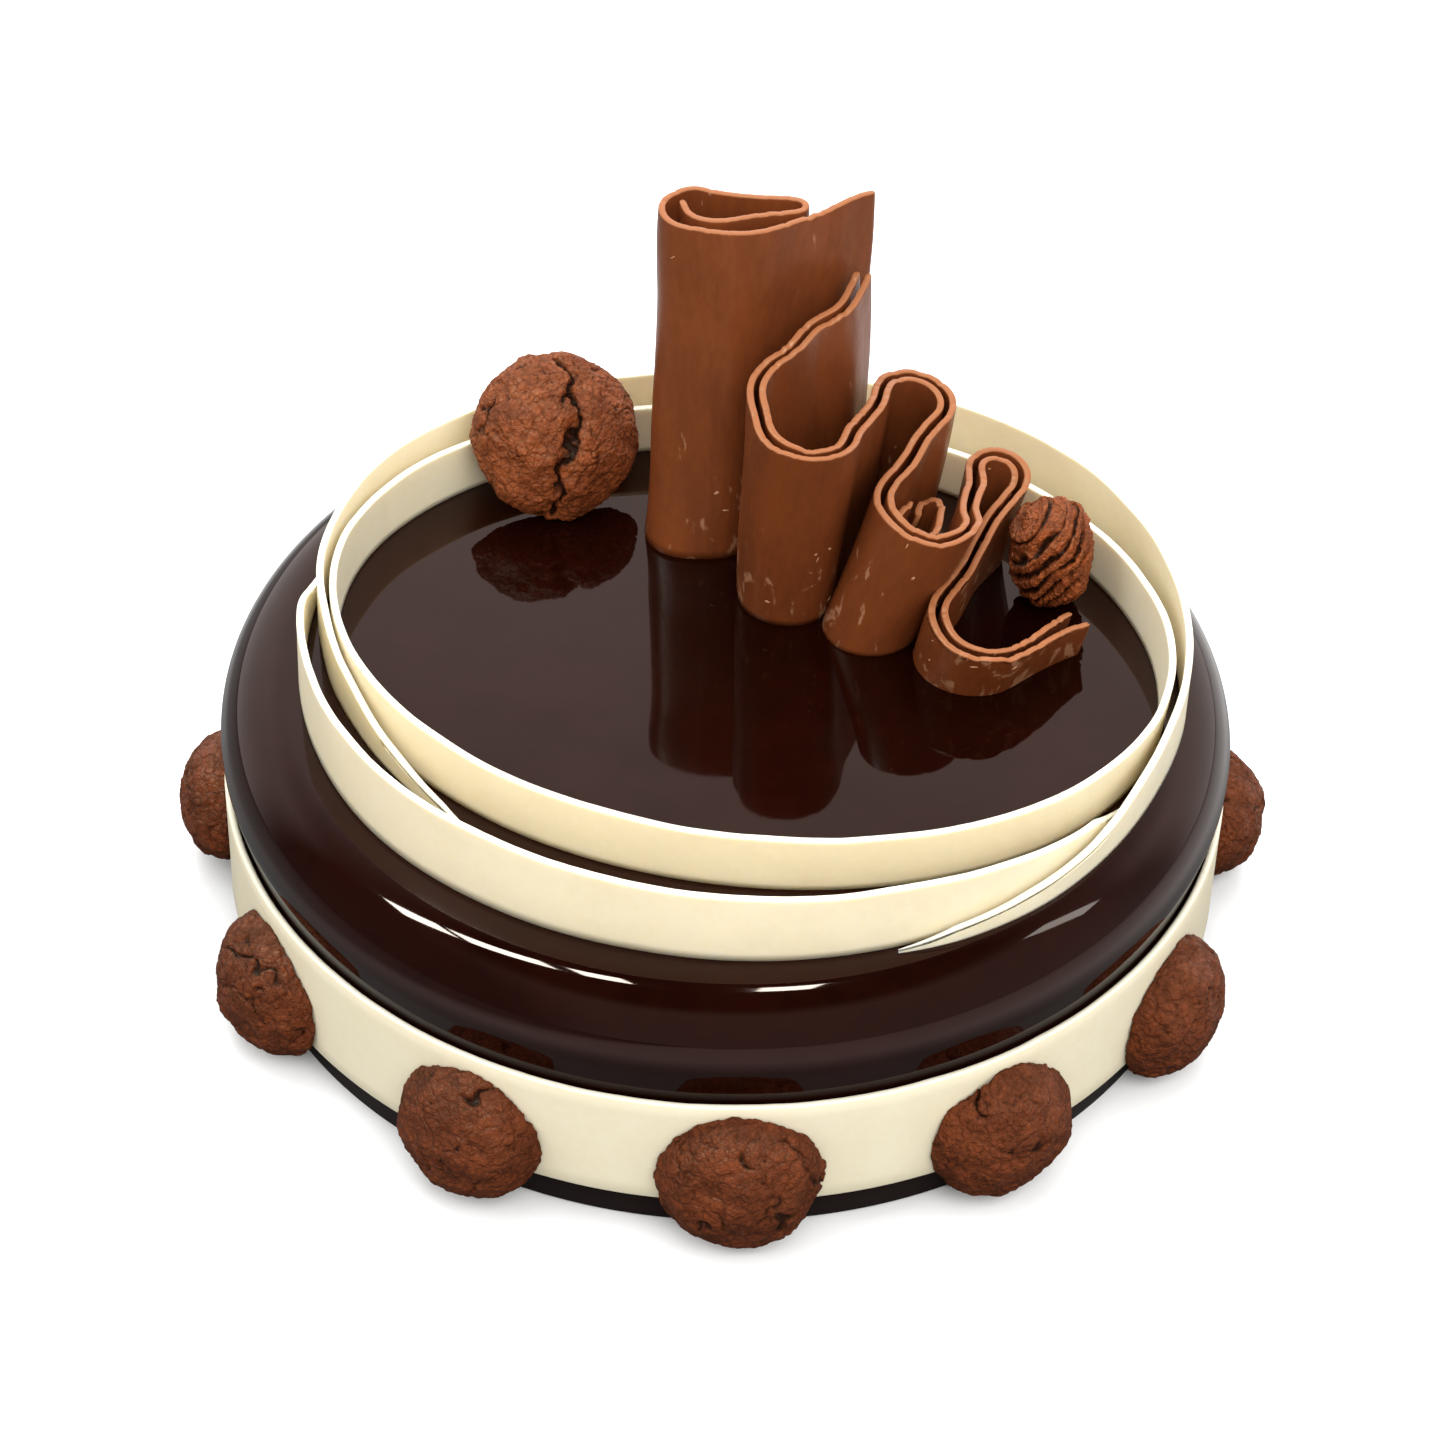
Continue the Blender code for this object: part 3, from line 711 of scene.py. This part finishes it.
def leftwards(line, closed):
    """Level unit vectors to the left of a line at each of its points."""
    if closed:
        ring = line[:-1]
        along = np.roll(ring, -1, axis=0) - np.roll(ring, 1, axis=0)
        along = np.vstack([along, along[:1]])
    else:
        along = np.gradient(line, axis=0)
    left = np.stack([-along[:, 1], along[:, 0], np.zeros(len(along))], axis=1)
    return left / np.linalg.norm(left, axis=1)[:, None]


def section_rows(rows, rounding):
    """Up one side of a sheet's section and down the other: share of its height, depth below its rim, side.

    The rows near the rim are set by depth, in metres, and the others by their share of the height.
    """
    up = [(i / rows, None, 1.0) for i in range(rows)]
    near_rim = ((2.4, 1.0), (1.0, 1.0), (0.30, 0.93), (0.0, 0.72))
    up += [(None, depth * rounding, side) for depth, side in near_rim]
    down = [(share, depth, -side) for share, depth, side in reversed(up)]
    return up + down


def standing_sheet(node, name, parts, rows, waver, ragged, bending, stray, material, slot):
    """A sheet that stands on the glaze along its solid's path, with a rounded, uneven rim.

    It starts as a flat grid: its columns are laid along the path and its rows wrapped round the section.
    """
    sizes = bpy.context.scene.cake_sizes
    rim, foot, closed = sheet_lines(node)
    rim, foot = finer(rim, parts, closed), finer(foot, parts, closed)
    half = sizes.sheet_thickness / 2
    sections = section_rows(rows, sizes.rim_rounding)
    columns, around = len(rim), len(sections) + 1
    left_rim, left_foot = leftwards(rim, closed), leftwards(foot, closed)
    along = np.concatenate([[0.0], np.cumsum(np.linalg.norm(np.diff(rim, axis=0), axis=1))])
    seed = 0.37 * len(node)
    apart = Vector((0.0, seed * 5.0, 0.0))
    points = np.zeros((around, columns, 3))
    flat = np.zeros((around, columns, 2))
    edge = np.zeros((around, columns))
    for i in range(columns):
        end = 1.0 if closed else min(along[i], along[-1] - along[i])
        taper = 1.0 if closed else min(1.0, 0.62 + 0.38 * math.sqrt(min(1.0, end / 0.0007)))
        spot = Vector(rim[i])
        dip = waver * MM * noise.noise(spot * 70.0 + Vector((seed, 0.0, 0.0)))
        dip -= ragged * MM * max(0.0, noise.noise(spot * 420.0) + 0.5 * noise.noise(spot * 1100.0))
        base = foot[i].copy()
        base[2] = GLAZE_TOP - 0.0002
        top = rim[i] + np.array([0.0, 0.0, dip])
        height = max(0.0006, top[2] - base[2])
        thin = min(1.0, 0.30 + end / THIN_END_LENGTH) if height < THIN_END_HEIGHT else 1.0
        taper *= thin * min(1.0, 0.35 + height / THIN_END_HEIGHT)
        top[2] -= (1.0 - thin) * 0.7 * height
        height = max(0.0006, top[2] - base[2])
        wander = stray * MM * (noise.noise(spot * 75.0 + apart) + 0.22 * noise.noise(spot * 210.0 + apart))
        for j, (share, depth, side) in enumerate(sections):
            rise = share if depth is None else 1.0 - min(depth, 0.4 * height) / height
            where = base + (top - base) * rise
            left = left_foot[i] * (1.0 - rise) + left_rim[i] * rise
            bend = bending * MM * noise.noise(Vector(where) * 38.0) + wander * rise**2
            skin = 0.02 * MM * noise.noise(Vector(where + left * side * 0.004) * 300.0)
            points[j, i] = where + left * (bend + (half * taper + skin) * side)
            flat[j, i] = (along[i], (1.0 - rise) * height)
            edge[j, i] = min((1.0 - rise) * height, end)
        points[-1, i], flat[-1, i], edge[-1, i] = points[0, i], flat[0, i], edge[0, i]
    piece = wrapped_grid(points, flat, edge)
    return finish_piece(piece, name, material, slot, node)


def wrapped_grid(points, flat, edge):
    """A grid laid over a table of points, its seams merged and its ends closed."""
    start_fresh()
    around, columns = edge.shape
    bpy.ops.mesh.primitive_grid_add(x_subdivisions=columns - 1, y_subdivisions=around - 1, size=1.0)
    piece = bpy.context.object
    mesh = piece.data
    co = np.zeros(len(mesh.vertices) * 3)
    mesh.vertices.foreach_get("co", co)
    co = co.reshape(-1, 3)
    column = np.rint((co[:, 0] + 0.5) * (columns - 1)).astype(int)
    row = np.rint((co[:, 1] + 0.5) * (around - 1)).astype(int)
    mesh.vertices.foreach_set("co", points[row, column].ravel())
    mesh.attributes.new("edge", "FLOAT", "POINT").data.foreach_set("value", edge[row, column])
    corner = np.zeros(len(mesh.loops), int)
    mesh.loops.foreach_get("vertex_index", corner)
    layer = mesh.uv_layers.active
    layer.name = "sheet"
    layer.data.foreach_set("uv", flat[row[corner], column[corner]].ravel())
    mesh.update()
    bpy.ops.object.mode_set(mode="EDIT")
    bpy.ops.mesh.select_all(action="SELECT")
    bpy.ops.mesh.remove_doubles(threshold=0.0000008)
    bpy.ops.mesh.select_all(action="DESELECT")
    bpy.ops.object.mode_set(mode="OBJECT")
    bm = bmesh.new()
    bm.from_mesh(mesh)
    bmesh.ops.holes_fill(bm, edges=[e for e in bm.edges if e.is_boundary])
    bmesh.ops.recalc_face_normals(bm, faces=bm.faces)
    bm.to_mesh(mesh)
    bm.free()
    return piece


def detailed_copy(node, levels):
    """A merged and finely subdivided copy of a solid."""
    start_fresh()
    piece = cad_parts[node].copy()
    piece.data = piece.data.copy()
    piece.parent = None
    for key in list(piece.keys()):
        del piece[key]
    bpy.context.scene.collection.objects.link(piece)
    piece.hide_render = False
    piece.hide_set(False)
    bpy.context.view_layer.objects.active = piece
    piece.select_set(True)
    bpy.ops.object.mode_set(mode="EDIT")
    bpy.ops.mesh.select_all(action="SELECT")
    bpy.ops.mesh.remove_doubles(threshold=0.000002)
    bpy.ops.object.mode_set(mode="OBJECT")
    fine = piece.modifiers.new("fine", "SUBSURF")
    fine.levels = fine.render_levels = levels
    bpy.ops.object.modifier_apply(modifier=fine.name)
    return piece


def crack_line(point, scale, width):
    """1 on long winding lines, falling to 0 at a width from them, in millimetres."""
    spot = point * scale * 2.7
    bend = 0.30 * Vector([noise.noise(spot + Vector(apart)) for apart in NOISE_AXES])
    return max(0.0, 1.0 - abs(noise.noise(point * scale + bend)) / (scale * width))


def crumbly(piece, seed, openness, grain, extra=None):
    """Gives a biscuit its crust: lumps, wrinkles, a few long cracks, pits and crumb.

    Keeps, for each point, a share of painted shade for its cracks, pits and wrinkle hollows. Extra gives a
    further depth, in millimetres, and painted shade at a point.
    """
    sizes = bpy.context.scene.cake_sizes
    mesh = piece.data
    shift = Vector((3.1 * seed, 1.7 * seed, 0.9 * seed))
    normals = [vert.normal.copy() for vert in mesh.vertices]
    painted_recess_shade = mesh.attributes.new("painted_recess_shade", "FLOAT", "POINT").data
    for i, vert in enumerate(mesh.vertices):
        point = vert.co * 1000.0 + shift
        opening = max(0.0, min(1.0, openness + 2.1 * noise.noise(point * 0.13 + shift)))
        wide = crack_line(point, 0.085, 0.55) ** 0.7 * opening
        hair = crack_line(point + shift, 0.19, 0.30)
        hair *= max(0.0, min(1.0, 0.45 + 2.0 * noise.noise(point * 0.2)))
        lumps = 0.55 * noise.noise(point * 0.17) + 0.36 * noise.noise(point * 0.34)
        wrinkle = 0.22 * (1.0 - 2.6 * abs(noise.noise(point * 0.50)))
        wrinkle += 0.10 * (1.0 - 2.6 * abs(noise.noise(point * 1.1)))
        crumb = noise.noise(point * 2.2) + 0.5 * noise.noise(point * 4.4)
        pits = max(0.0, noise.noise(point * 1.1 + shift) - 0.50)
        deep, dark = extra(vert.co) if extra else (0.0, 0.0)
        lift = MM * (lumps + wrinkle - deep) + 0.5 * grain * sizes.crust_grain * crumb
        vert.co += normals[i] * (lift - sizes.crack_depth * (wide + 0.45 * hair + 0.8 * pits))
        # Painted shade: cracks, pits and wrinkle hollows are darkened where shade would fall.
        painted_recess_shade[i].value = min(1.0, wide + 0.6 * hair + 1.3 * pits + dark + 0.50 * max(0.0, -wrinkle * 3.4))
    mesh.update()


def side_biscuits():
    material = biscuit_material("cocoa_crust", *crust_colours())
    for number in range(1, 13):
        node = f"side_biscuit_{number:02d}"
        piece = detailed_copy(node, 3)
        crumbly(piece, number, 0.42, 1.0)
        finish_piece(piece, f"cocoa_biscuit_{number:02d}", material, "biscuit", node)


def crust_colours():
    colours = bpy.context.scene.cake_colours
    return colours.biscuit, colours.biscuit_shade


def top_biscuit():
    colours = bpy.context.scene.cake_colours
    # Its crust is painted lighter, with the plain crust as its darker tone: painted light on the biscuit up
    # top.
    material = biscuit_material("painted_light_top_crust", colours.painted_light_biscuit, colours.biscuit)
    piece = detailed_copy("top_biscuit", 3)
    turn = Matrix.Rotation(TOP_TURN, 4, "Z") @ Matrix.Rotation(-TOP_LEAN, 4, "X")
    own = (Matrix.Translation(TOP_CENTRE) @ turn).inverted()

    def split(point):
        """Depth and painted shade of the one deep crack that wanders down the biscuit's front."""
        ball = own @ point / TOP_RADIUS
        if ball.y > -0.05:
            return 0.0, 0.0
        line = 0.24 * math.cos(2.1 * (ball.z - 0.4)) - 0.02
        line += 0.16 * noise.noise(point * 210.0) + 0.05 * noise.noise(point * 700.0)
        width = 0.040 + 0.06 * max(0.0, noise.noise(point * 190.0) + 0.15)
        width += 0.07 * max(0.0, 1.0 - abs(ball.z + 0.36) / 0.22)
        near = max(0.0, 1.0 - abs(ball.x - line) / width) ** 0.7
        return 1.6 * near, 1.1 * near

    crumbly(piece, 31, 0.0, 1.1, split)
    finish_piece(piece, "split_biscuit", material, "biscuit", "top_biscuit")


def ridged_biscuit():
    colours = bpy.context.scene.cake_colours
    material = biscuit_material("golden_crust", colours.golden, colours.biscuit)
    piece = detailed_copy("ridged_biscuit", 3)
    mesh = piece.data
    normals = [vert.normal.copy() for vert in mesh.vertices]
    depth = mesh.attributes.new("painted_recess_shade", "FLOAT", "POINT").data
    slope = math.radians(50.0)
    for i, vert in enumerate(mesh.vertices):
        point = vert.co * 1000.0
        across = point.x * math.sin(slope) - point.z * math.cos(slope)
        wave = math.sin(math.tau * across / 2.7 + 2.6 * noise.noise(point * 0.16))
        groove = max(0.0, -wave - 0.05) / 0.95
        crumb = noise.noise(point * 0.9) + 0.8 * noise.noise(point * 1.9) + 0.5 * noise.noise(point * 3.9)
        vert.co += normals[i] * (-1.1 * MM * groove**0.8 + 0.24 * MM * crumb)
        # Painted shade: the grooves and the low crumb are darkened towards the crack colour.
        depth[i].value = min(1.0, 0.9 * groove**1.5 + max(0.0, -0.5 * crumb - 0.15))
    mesh.update()
    finish_piece(piece, "golden_biscuit", material, "golden_biscuit", "ridged_biscuit")


def hoops():
    material = ivory_material("ivory_hoops", 0.85, 1.0)
    for node, *shape in HOOPS:
        standing_sheet(node, "ivory_" + node, *shape, material, "white_chocolate")


def ruffle():
    material = milk_material()
    for node, *shape in RUFFLES:
        standing_sheet(node, "milk_" + node, *shape, material, "milk_chocolate")


def flakes():
    """Small flakes that cling to the lower part of the ruffle's outer faces."""
    sizes = bpy.context.scene.cake_sizes
    draw = random.Random(11)
    spots = []
    for name in ("milk_ruffle_scroll", "milk_ruffle_sheet_outer"):
        piece = bpy.data.objects[name]
        for face in piece.data.polygons:
            if face.normal.y < -0.35 and face.area > 2e-7:
                spots.append((face.center.copy(), face.normal.copy()))
    low = [spot for spot in spots if spot[0].z < GLAZE_TOP + 0.030]
    start_fresh()
    bpy.ops.mesh.primitive_ico_sphere_add(subdivisions=1, radius=1.0)
    piece = bpy.context.object
    shape = [vert.co.copy() for vert in piece.data.vertices]
    triangles = [tuple(face.vertices) for face in piece.data.polygons]
    verts, faces = [], []
    for k in range(sizes.flake_count):
        centre, out = draw.choice(low if k % 4 else spots)
        turn = out.to_track_quat("Z", "Y").to_matrix() @ Matrix.Rotation(draw.uniform(0.0, math.tau), 3, "Z")
        size = Vector((draw.uniform(0.35, 0.95), draw.uniform(0.18, 0.45), draw.uniform(0.10, 0.22))) * MM
        first = len(verts)
        for corner in shape:
            rough = 1.0 + 0.35 * noise.noise(corner * 1.4 + Vector((k, 0.0, 0.0)))
            local = Vector([part * length for part, length in zip(corner * rough, size)])
            verts.append(centre + turn @ local)
        faces += [tuple(first + corner for corner in triangle) for triangle in triangles]
    piece.data.clear_geometry()
    piece.data.from_pydata(verts, [], faces)
    finish_piece(piece, "chocolate_flakes", milk_material("flake_chocolate", 0.6), "milk_chocolate")


def photo_camera():
    """Sets the camera where the photograph was taken from."""
    forward = Vector((0.0, math.cos(CAMERA_ELEVATION), -math.sin(CAMERA_ELEVATION)))
    right = Vector((1.0, 0.0, 0.0))
    up = right.cross(forward)
    place = -forward * CAMERA_DISTANCE - Vector((0.0, CAMERA_BACK, 0.0))
    pan = math.atan2(BASE_RIGHT_PIXELS, FOCAL_PIXELS)
    tip = math.atan2(BASE_DOWN_PIXELS, FOCAL_PIXELS)
    turn = Matrix.Rotation(pan, 3, "Y") @ Matrix.Rotation(-tip, 3, "X") @ Matrix.Rotation(CAMERA_ROLL, 3, "Z")
    axes = (right, -up, forward)
    seen = [sum((turn[i][k] * axes[k] for k in range(3)), Vector()) for i in range(3)]
    camera = bpy.data.cameras.new("photo_camera")
    camera.sensor_fit = "HORIZONTAL"
    camera.sensor_width = SENSOR_WIDTH
    camera.lens = SENSOR_WIDTH * FOCAL_PIXELS / IMAGE_SIZE
    camera.clip_start = 0.01
    camera.clip_end = 50.0
    obj = bpy.data.objects.new("photo_camera", camera)
    obj.matrix_world = Matrix.Translation(place) @ Matrix((seen[0], -seen[1], -seen[2])).transposed().to_4x4()
    bpy.context.scene.collection.objects.link(obj)
    bpy.context.scene.camera = obj


def area_light(name, place, aim, width, length, watts, mirrored):
    light = bpy.data.lights.new(name, "AREA")
    light.shape = "RECTANGLE"
    light.size = width
    light.size_y = length
    light.energy = watts
    obj = bpy.data.objects.new(name, light)
    obj.location = place
    obj.rotation_euler = (Vector(aim) - Vector(place)).to_track_quat("-Z", "Y").to_euler()
    obj.visible_glossy = mirrored
    bpy.context.scene.collection.objects.link(obj)
    return obj


def studio():
    """Pale floor, soft surroundings and lights."""
    scene = bpy.context.scene
    settings = scene.cake_studio
    start_fresh()
    bpy.ops.mesh.primitive_circle_add(vertices=128, radius=FLOOR_INNER_RADIUS, fill_type="NOTHING")
    floor = bpy.context.object
    bpy.ops.object.mode_set(mode="EDIT")
    bpy.ops.mesh.select_all(action="SELECT")
    bpy.ops.mesh.extrude_region_move(TRANSFORM_OT_translate={"value": (0.0, 0.0, 0.0)})
    wider = FLOOR_RADIUS / FLOOR_INNER_RADIUS
    bpy.ops.transform.resize(value=(wider, wider, 1.0), center_override=(0.0, 0.0, 0.0))
    bpy.ops.object.mode_set(mode="OBJECT")
    bm = bmesh.new()
    bm.from_mesh(floor.data)
    middle = (FLOOR_INNER_RADIUS + FLOOR_RADIUS) / 2
    inner = [e for e in bm.edges if e.is_boundary and all(v.co.length < middle for v in e.verts)]
    bmesh.ops.holes_fill(bm, edges=inner)
    for face in bm.faces:
        if face.normal.z < 0.0:
            face.normal_flip()
    bm.to_mesh(floor.data)
    bm.free()
    floor.name = "studio_floor"
    floor.data.materials.append(floor_material())
    world = bpy.data.worlds.new("studio_sky")
    world.use_nodes = True
    scene.world = world
    tree = world.node_tree
    sky = tree.nodes["Background"]
    toward = put(tree, "SeparateXYZ", {0: put(tree, "TexCoord").outputs["Generated"]}).outputs
    below_panel_top = ramp(tree, toward["Z"], 0.82, 0.58, 0.0, settings.panel)
    panel = maths(tree, "MULTIPLY", ramp(tree, toward["Y"], 0.15, 0.5), below_panel_top)
    low = ramp(tree, toward["Y"], -0.2, 0.3, settings.front, settings.back)
    low = maths(tree, "MULTIPLY", low, ramp(tree, toward["X"], -0.7, -0.3, 0.3, 1.0))
    around = mix_values(tree, ramp(tree, toward["Z"], 0.78, 0.92), low, settings.overhead)
    mirrored = maths(tree, "ADD", panel, around)
    seen = put(tree, "LightPath").outputs["Is Glossy Ray"]
    tree.links.new(mix_values(tree, seen, settings.sky, mirrored), sky.inputs["Strength"])
    sky.inputs["Color"].default_value = (1.0, 0.985, 0.955, 1.0)
    for number, (middle, width, share) in enumerate(STRIP_LIGHTS, 1):
        place, aim = (middle, STRIP_BACK, STRIP_HEIGHT), (middle, STRIP_BACK, 0.0)
        watts = settings.strip_power * width * share
        strip = area_light(f"strip_light_{number}", place, aim, width, STRIP_LENGTH, watts, True)
        strip.visible_diffuse = False
        strip.data.color = STRIP_TINT
    for name, place, aim_height, size, setting, share in SOFT_LIGHTS:
        watts = getattr(settings, setting) * share
        area_light(name, place, (0.0, 0.0, aim_height), size, size, watts, False)
    scene.view_settings.view_transform = "Standard"
    photo_camera()


# Operators, panel and registration.


class PieceOperator:
    """What the operators share: each runs its own modelling function."""

    bl_options = {"REGISTER", "UNDO"}

    def execute(self, context):
        self.work()
        return {"FINISHED"}


class CAKE_OT_glazed_body(PieceOperator, bpy.types.Operator):
    """Models the mirror-glazed body"""

    bl_idname = "cake.glazed_body"
    bl_label = "Glazed body"
    work = staticmethod(glazed_body)


class CAKE_OT_ivory_band(PieceOperator, bpy.types.Operator):
    """Models the white chocolate band round the side"""

    bl_idname = "cake.ivory_band"
    bl_label = "Ivory band"
    work = staticmethod(ivory_band)


class CAKE_OT_side_biscuits(PieceOperator, bpy.types.Operator):
    """Models the twelve crackled biscuits round the band"""

    bl_idname = "cake.side_biscuits"
    bl_label = "Side biscuits"
    work = staticmethod(side_biscuits)


class CAKE_OT_top_biscuit(PieceOperator, bpy.types.Operator):
    """Models the split biscuit that leans on the hoop"""

    bl_idname = "cake.top_biscuit"
    bl_label = "Top biscuit"
    work = staticmethod(top_biscuit)


class CAKE_OT_ridged_biscuit(PieceOperator, bpy.types.Operator):
    """Models the ridged biscuit beside the ruffle"""

    bl_idname = "cake.ridged_biscuit"
    bl_label = "Ridged biscuit"
    work = staticmethod(ridged_biscuit)


class CAKE_OT_hoops(PieceOperator, bpy.types.Operator):
    """Models the white chocolate hoops on the glaze"""

    bl_idname = "cake.hoops"
    bl_label = "Hoops"
    work = staticmethod(hoops)


class CAKE_OT_ruffle(PieceOperator, bpy.types.Operator):
    """Models the scroll, the folded sheets and the curl"""

    bl_idname = "cake.ruffle"
    bl_label = "Ruffle"
    work = staticmethod(ruffle)


class CAKE_OT_flakes(PieceOperator, bpy.types.Operator):
    """Scatters small flakes on the ruffle"""

    bl_idname = "cake.flakes"
    bl_label = "Flakes"
    work = staticmethod(flakes)


class CAKE_OT_studio(PieceOperator, bpy.types.Operator):
    """Sets up the floor, the lights and the camera"""

    bl_idname = "cake.studio"
    bl_label = "Studio"
    work = staticmethod(studio)


OPERATORS = (
    CAKE_OT_glazed_body,
    CAKE_OT_ivory_band,
    CAKE_OT_side_biscuits,
    CAKE_OT_top_biscuit,
    CAKE_OT_ridged_biscuit,
    CAKE_OT_hoops,
    CAKE_OT_ruffle,
    CAKE_OT_flakes,
    CAKE_OT_studio,
)


class CAKE_PT_panel(bpy.types.Panel):
    """Lists the cake's sizes, colours and pieces."""

    bl_idname = "CAKE_PT_panel"
    bl_label = "Cake"
    bl_space_type = "VIEW_3D"
    bl_region_type = "UI"
    bl_category = "Cake"

    def draw(self, context):
        for settings in (context.scene.cake_sizes, context.scene.cake_colours, context.scene.cake_studio):
            box = self.layout.box()
            for name in settings.__annotations__:
                box.prop(settings, name)
        for operator in OPERATORS:
            self.layout.operator(operator.bl_idname)


CLASSES = (CakeSizes, CakeColours, CakeStudio, *OPERATORS, CAKE_PT_panel)


def register():
    for item in CLASSES:
        bpy.utils.register_class(item)
    bpy.types.Scene.cake_sizes = PointerProperty(type=CakeSizes)
    bpy.types.Scene.cake_colours = PointerProperty(type=CakeColours)
    bpy.types.Scene.cake_studio = PointerProperty(type=CakeStudio)


def unregister():
    del bpy.types.Scene.cake_sizes
    del bpy.types.Scene.cake_colours
    del bpy.types.Scene.cake_studio
    for item in reversed(CLASSES):
        bpy.utils.unregister_class(item)


def main():
    register()
    for operator in OPERATORS:
        getattr(bpy.ops.cake, operator.bl_idname.split(".")[1])()


if __name__ == "__main__":
    main()
